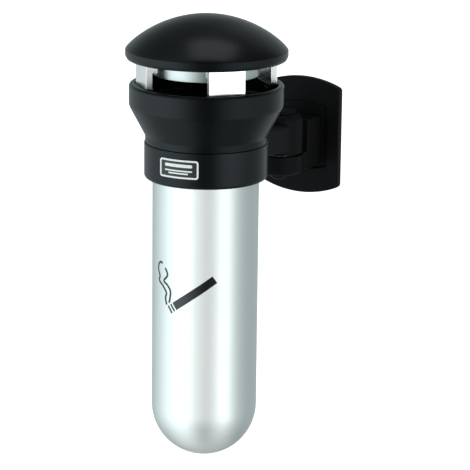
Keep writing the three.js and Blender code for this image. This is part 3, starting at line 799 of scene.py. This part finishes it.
def build_canister():
    ball = TUBE.bottom + TUBE_OUTER
    inner = TUBE_OUTER - TUBE_WALL

    def quarter(radius, steps):
        points = [Vector((radius * math.sin(math.pi / 2 * i / steps),
                          ball - radius * math.cos(math.pi / 2 * i / steps))) for i in range(steps + 1)]
        points[0].x = 0
        return points

    under_rim = TUBE.top - 1.9
    rim = rounded([(TUBE_OUTER, ball + 1), (TUBE_OUTER, under_rim, 0.3), (TUBE.radius, under_rim, 0.5),
                   (TUBE.radius, TUBE.top, 0.9), (inner, TUBE.top, 0.5), (inner, ball + 1)],
                  closed=False, steps=4)
    profile = quarter(TUBE_OUTER, 40) + rim + list(reversed(quarter(inner, 32)))
    add_piece(lathe("canister_tube_visual", profile, closed=False, sides=256), "canister",
              "brushed_steel", ["canister_tube"], 50)

    low, high = corners("lift_bar")
    bar, reach = 2, (high.x - low.x) / 2 - 1.3
    end_height = low.z + bar
    peak = high.z - bar
    mesh = bmesh.new()
    steps, sides = 48, 20
    rings = []
    for i in range(steps + 1):
        t = -1 + 2 * i / steps
        at = Vector((reach * t, 0, peak - (peak - end_height) * t * t))
        along = Vector((reach, 0, -2 * (peak - end_height) * t)).normalized()
        up = Vector((-along.z, 0, along.x))
        rings.append([mesh.verts.new(BIN + at + up * bar * math.sin(TURN * k / sides)
                                     + Vector((0, bar * math.cos(TURN * k / sides), 0)))
                      for k in range(sides)])
    for a, b in zip(rings, rings[1:]):
        for k in range(sides):
            mesh.faces.new((a[k], a[(k + 1) % sides], b[(k + 1) % sides], b[k]))
    mesh.faces.new(rings[0])
    mesh.faces.new(rings[-1])
    add_piece(make_object("lift_bar_visual", mesh), "canister", "satin_steel", ["lift_bar"])


# ---- thin shapes wrapped round the bin ---------------------------------------------------------
def wrap(name, faces, radius, thickness, step=2.0):
    """Flat faces of (right, up) points become a thin solid lying on a cylinder round the bin's
    axis. Right is measured along the surface from the middle of the front."""
    mesh = bmesh.new()
    known = {}

    def vertex(p):
        key = (round(p[0], 4), round(p[1], 4))
        if key not in known:
            known[key] = mesh.verts.new((p[0], 0, p[1]))
        return known[key]

    for face in faces:
        mesh.faces.new([vertex(p) for p in face])
    left = min(v.co.x for v in mesh.verts)
    right = max(v.co.x for v in mesh.verts)
    cuts = int((right - left) / step)
    for i in range(1, cuts + 1):
        bmesh.ops.bisect_plane(mesh, geom=mesh.verts[:] + mesh.edges[:] + mesh.faces[:],
                               plane_co=(left + (right - left) * i / (cuts + 1), 0, 0),
                               plane_no=(1, 0, 0), dist=1e-3)
    raised = bmesh.ops.extrude_face_region(mesh, geom=mesh.faces[:], use_keep_orig=True)["geom"]
    for v in raised:
        if isinstance(v, bmesh.types.BMVert):
            v.co.y = -thickness
    for v in mesh.verts:
        angle, distance = v.co.x / radius, radius - v.co.y
        v.co = (BIN.x + distance * math.sin(angle), BIN.y - distance * math.cos(angle), v.co.z)
    return make_object(name, mesh)


def soft_rectangle(left, right, bottom, top, corner):
    return rounded([(left, bottom, corner), (right, bottom, corner), (right, top, corner),
                    (left, top, corner)], steps=6)


def ring_faces(outer, inner):
    count = len(outer)
    return [(outer[i], outer[(i + 1) % count], inner[(i + 1) % count], inner[i]) for i in range(count)]


def build_badge():
    low, high = corners("badge")
    back, layer = COLLAR_RADIUS + GAP, 0.35
    middle, half = math.radians(1.75) * COLLAR_RADIUS, 17.7
    left, right = middle - half, middle + half
    bottom, top = low.z, high.z
    corner, border = 2.4, 1.45
    outline = soft_rectangle(left, right, bottom, top, corner)
    add_piece(wrap("badge_plate", [outline], back, layer), "swing_arm", "badge_dark", ["badge"])
    front = back + layer
    frame_faces = ring_faces(outline, soft_rectangle(left + border, right - border, bottom + border,
                                                     top - border, corner - border))
    add_piece(wrap("badge_border", frame_faces, front, layer), "swing_arm", "badge_pale")
    # Three plain stripes stand where a printed mark would be.
    for number, (height, thick, wide) in enumerate(((9.3, 2.6, 12.5), (5.7, 1.2, 12.5), (3.5, 1.2, 9))):
        stripe = soft_rectangle(middle - wide, middle + wide, bottom + height,
                                bottom + height + thick, thick / 2.1)
        add_piece(wrap(f"badge_stripe_{number + 1}", [stripe], front, 0.2), "swing_arm", "badge_pale")


def smooth_line(points, steps=6):
    """A Catmull-Rom curve through a few points."""
    ends = [Vector(points[0]) * 2 - Vector(points[1])] + [Vector(p) for p in points]
    ends.append(Vector(points[-1]) * 2 - Vector(points[-2]))
    curve = []
    for a, b, c, d in zip(ends, ends[1:], ends[2:], ends[3:]):
        for k in range(steps):
            t = k / steps
            curve.append(0.5 * (2 * b + (c - a) * t + (2 * a - 5 * b + 4 * c - d) * t * t
                                + (3 * b - a - 3 * c + d) * t ** 3))
    curve.append(ends[-2])
    return curve


def stroke(points, width):
    """Faces of a line of even width that follows a few points."""
    line = smooth_line(points)
    left, right = [], []
    for i, point in enumerate(line):
        along = (line[min(i + 1, len(line) - 1)] - line[max(i - 1, 0)]).normalized()
        across = Vector((-along.y, along.x)) * width / 2
        left.append(point + across)
        right.append(point - across)
    return [(left[i], left[i + 1], right[i + 1], right[i]) for i in range(len(line) - 1)]


def build_symbol():
    """A plain burning cigarette on the canister: a bar, two rings of ash and two wisps of smoke."""
    tip, butt, half = Vector((-5.2, -105.6)), Vector((29.8, -80.3)), 3.5
    along = (butt - tip).normalized()
    across = Vector((-along.y, along.x))

    def slab(start, end, half_width):
        a, b = tip + along * start, tip + along * end
        side = across * half_width
        return [(a - side, b - side, b + side, a + side)]

    surface, ink = TUBE_OUTER + 0.02, 0.08
    length = (butt - tip).length
    add_piece(wrap("symbol_bar", slab(0, length, half), surface, ink), "canister", "ink_bar")
    for number, start in enumerate((-3.1, -6.4)):
        ring = wrap(f"symbol_ash_{number + 1}", slab(start, start + 1.7, half), surface, ink, 1.0)
        add_piece(ring, "canister", "ink_smoke")
    wisps = (
        ((-13.6, -105.6), (-15.1, -100), (-14.1, -95.5), (-18, -90.6), (-23.8, -86.5), (-22.9, -82.5),
         (-25.2, -77.5), (-24.4, -72.5), (-21.8, -70.3), (-19, -70.9)),
        ((-10.8, -103.3), (-9.7, -98), (-9.6, -92.8), (-13, -88.5), (-17.2, -85.7), (-13.3, -81),
         (-13.3, -77.8), (-15.7, -74.3)),
    )
    for number, points in enumerate(wisps):
        wisp = wrap(f"symbol_smoke_{number + 1}", stroke(points, 1.9), surface, ink, 1.5)
        add_piece(wisp, "canister", "ink_smoke")


# ---- pieces that stay as they are in the CAD ---------------------------------------------------
def dress_cad():
    nut = frame["nodes"]["post_top_nut"]
    nut.data.materials.clear()
    nut.data.materials.append(MATERIALS["zinc_plate"])


# ---- studio ------------------------------------------------------------------------------------
CAMERA_TURN, CAMERA_RISE, CAMERA_ROLL = 27.0, 14.32, 0.66
CAMERA_DISTANCE, CAMERA_LENS = 2.0468, 186.9
LOOK_AT = Vector((0.0222, -0.1767, -0.0532))


def build_camera():
    turn, rise, roll = (math.radians(a) for a in (CAMERA_TURN, CAMERA_RISE, CAMERA_ROLL))
    back = Vector((math.sin(turn) * math.cos(rise), -math.cos(turn) * math.cos(rise), math.sin(rise)))
    right = Vector((math.cos(turn), math.sin(turn), 0))
    up = back.cross(right)
    tilted_right = right * math.cos(roll) + up * math.sin(roll)
    tilted_up = up * math.cos(roll) - right * math.sin(roll)
    data = bpy.data.cameras.new("photo_camera")
    data.lens = CAMERA_LENS
    data.sensor_width = 36
    data.clip_end = 50
    camera = bpy.data.objects.new("photo_camera", data)
    pose = Matrix((tilted_right, tilted_up, back)).transposed().to_4x4()
    pose.translation = LOOK_AT + back * CAMERA_DISTANCE
    camera.matrix_world = pose
    bpy.context.scene.collection.objects.link(camera)
    bpy.context.scene.camera = camera


# Brightness of the studio walls round the object, by angle to the right of the camera.
SURROUND = (
    (-180, 0.38), (-156, 0.32), (-118, 0.43), (-97, 0.66), (-75, 0.92), (-52, 1.0), (-38, 0.8),
    (-27, 0.42), (-15, 0.16), (-4, 0.04), (9, 0.04), (20, 0.21), (32, 0.44), (45, 0.55), (58, 0.52),
    (72, 0.4), (90, 0.3), (108, 0.25), (130, 0.28), (155, 0.36), (180, 0.42),
)


def build_surround():
    world = bpy.data.worlds.new("studio")
    bpy.context.scene.world = world
    world.use_nodes = True
    tree = world.node_tree
    tree.nodes.clear()

    def add(kind, **settings):
        node = tree.nodes.new(kind)
        for key, value in settings.items():
            setattr(node, key, value)
        return node

    def arithmetic(operation, a, b=None):
        node = add("ShaderNodeMath", operation=operation)
        for socket, value in zip(node.inputs, (a, b)):
            if isinstance(value, bpy.types.NodeSocket):
                tree.links.new(value, socket)
            elif value is not None:
                socket.default_value = value
        return node.outputs[0]

    split = add("ShaderNodeSeparateXYZ")
    tree.links.new(add("ShaderNodeTexCoord").outputs["Generated"], split.inputs[0])
    x, y, z = split.outputs
    turn = math.radians(CAMERA_TURN)
    # Direction seen from the camera: right is x', towards the camera is -y'.
    right = arithmetic("ADD", arithmetic("MULTIPLY", x, math.cos(turn)),
                       arithmetic("MULTIPLY", y, math.sin(turn)))
    ahead = arithmetic("SUBTRACT", arithmetic("MULTIPLY", y, math.cos(turn)),
                       arithmetic("MULTIPLY", x, math.sin(turn)))
    angle = arithmetic("ARCTAN2", right, arithmetic("MULTIPLY", ahead, -1.0))
    share = arithmetic("ADD", arithmetic("DIVIDE", angle, TURN), 0.5)
    ramp = add("ShaderNodeValToRGB")
    ramp.color_ramp.interpolation = "B_SPLINE"
    elements = ramp.color_ramp.elements
    while len(elements) < len(SURROUND):
        elements.new(0.5)
    for element, (degrees, level) in zip(elements, SURROUND):
        element.position = degrees / 360 + 0.5
        element.color = (level, level, level, 1)
    tree.links.new(share, ramp.inputs[0])
    height = add("ShaderNodeMapRange", interpolation_type="SMOOTHSTEP")
    tree.links.new(z, height.inputs["Value"])
    for key, value in (("From Min", -0.95), ("From Max", -0.35), ("To Min", 0.4), ("To Max", 1.0)):
        height.inputs[key].default_value = value
    roof = add("ShaderNodeMapRange", interpolation_type="SMOOTHSTEP")
    tree.links.new(z, roof.inputs["Value"])
    for key, value in (("From Min", 0.0), ("From Max", 0.6), ("To Min", 1.0), ("To Max", 0.3)):
        roof.inputs[key].default_value = value
    level = arithmetic("MULTIPLY", arithmetic("MULTIPLY", ramp.outputs[0], height.outputs[0]),
                       roof.outputs[0])
    walls = add("ShaderNodeBackground")
    tree.links.new(arithmetic("MULTIPLY", level, 1.9), walls.inputs["Strength"])
    walls.inputs["Color"].default_value = (0.85, 0.98, 1.0, 1)
    white = add("ShaderNodeBackground")
    white.inputs["Color"].default_value = (1, 1, 1, 1)
    white.inputs["Strength"].default_value = 1.0
    mix = add("ShaderNodeMixShader")
    tree.links.new(add("ShaderNodeLightPath").outputs["Is Camera Ray"], mix.inputs[0])
    tree.links.new(walls.outputs[0], mix.inputs[1])
    tree.links.new(white.outputs[0], mix.inputs[2])
    tree.links.new(mix.outputs[0], add("ShaderNodeOutputWorld").inputs["Surface"])


def soft_light(name, right_of_camera, height, distance, size, power, aim, only=None):
    """A square lamp round the object, turned to face it. It can be kept to a group of pieces."""
    turn = math.radians(CAMERA_TURN + right_of_camera)
    data = bpy.data.lights.new(name, "AREA")
    data.shape = "SQUARE"
    data.size = size
    data.energy = power
    lamp = bpy.data.objects.new(name, data)
    lamp.location = aim + Vector((math.sin(turn) * distance, -math.cos(turn) * distance, height))
    lamp.rotation_euler = (aim - lamp.location).to_track_quat("-Z", "Y").to_euler()
    bpy.context.scene.collection.objects.link(lamp)
    lamp.visible_camera = False
    if only:
        lamp.light_linking.receiver_collection = only


def pieces_in(*finishes):
    """A collection of the pieces that wear any of some finishes."""
    group = bpy.data.collections.new("lit_" + finishes[0])
    materials = [MATERIALS[finish] for finish in finishes]
    for piece in bpy.context.scene.objects:
        if piece.type == "MESH" and any(slot.material in materials for slot in piece.material_slots):
            group.objects.link(piece)
    return group


def build_floor():
    mesh = bmesh.new()
    bmesh.ops.create_grid(mesh, x_segments=1, y_segments=1, size=12000)
    floor = make_object("floor", mesh)
    floor.location.z = TUBE.bottom * MM - 0.45
    f = Finish("floor_white")
    clouds = f.noise(0.6, 2)
    f.set(Base_Color=f.colours(clouds, (0.3, (0.86, 0.86, 0.86)), (0.7, (0.88, 0.88, 0.88))),
          Roughness=0.9, Emission_Color=(1, 1, 1, 1), Emission_Strength=1.0)
    floor.data.materials.append(f.material)
    floor.visible_glossy = False


build_dome()
build_drum()
build_roof_hardware()
build_legs()
build_bowl()
build_collar()
build_swivel()
build_bracket()
build_canister()
build_badge()
build_symbol()
dress_cad()
build_camera()
build_surround()
centre_of_roof = Vector((BIN.x, BIN.y, DOME.top)) * MM
soft_light("top_lamp", 90, 1.2, 0.1, 0.8, 2.7, centre_of_roof)
soft_light("back_lamp", 150, 0.9, 1.2, 0.8, 0.3, centre_of_roof)
steel = pieces_in("brushed_steel", "satin_steel")
middle_of_tube = Vector((TUBE.x, TUBE.y, (TUBE.top + TUBE.bottom) / 2)) * MM
soft_light("left_strip", -25, -0.25, 1.3, 0.9, 2.3, middle_of_tube, steel)
soft_light("centre_strip", 3, -0.25, 1.3, 0.6, 1.5, middle_of_tube, steel)
soft_light("right_strip", 40, -0.25, 1.3, 0.9, 3.1, middle_of_tube, steel)
soft_light("low_lamp", 0, -0.5, 0.1, 0.7, 0.5, middle_of_tube, steel)
soft_light("bracket_lamp", 40, 0.3, 1.2, 1.0, 4, SWIVEL * MM, pieces_in("painted_light_coat"))
build_floor()
bpy.context.scene.view_settings.view_transform = "Standard"
